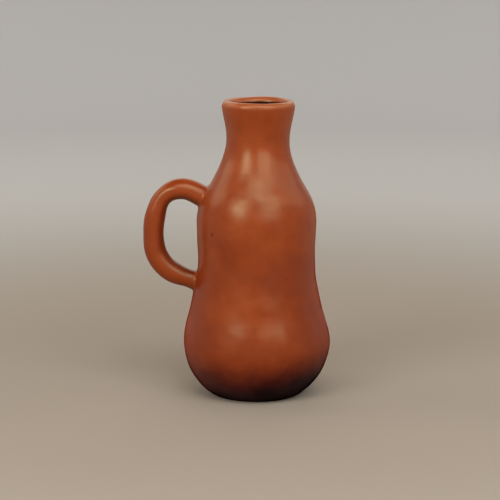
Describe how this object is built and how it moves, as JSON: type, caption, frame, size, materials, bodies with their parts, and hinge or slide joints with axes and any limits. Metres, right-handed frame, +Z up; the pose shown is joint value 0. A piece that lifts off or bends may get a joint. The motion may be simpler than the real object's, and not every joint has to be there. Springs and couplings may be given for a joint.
{
  "type": "pitcher",
  "caption": "Hand-built terracotta pitcher with a round waisted body, narrow flared neck, rolled lip and a round loop handle, free-standing on a flat base.",
  "frame": {"origin": "centre of the flat base, on the axis of the round body, at the height of the table", "axes": "+Z up the body's axis to the mouth; the handle is at -X; +Y is square to the handle's plane, and the picture looks along +Y from the front"},
  "size_m": [0.1574, 0.124, 0.25],
  "materials": {
    "terracotta": "satin",
    "smoked_terracotta": "satin"
  },
  "bodies": {
    "root": {"base": "smoked_terracotta", "lower_body": "terracotta", "upper_body": "terracotta", "neck": "terracotta", "rim": "terracotta", "handle": "terracotta", "upper_handle_lute": "terracotta", "lower_handle_lute": "terracotta"}
  },
  "joints": []
}
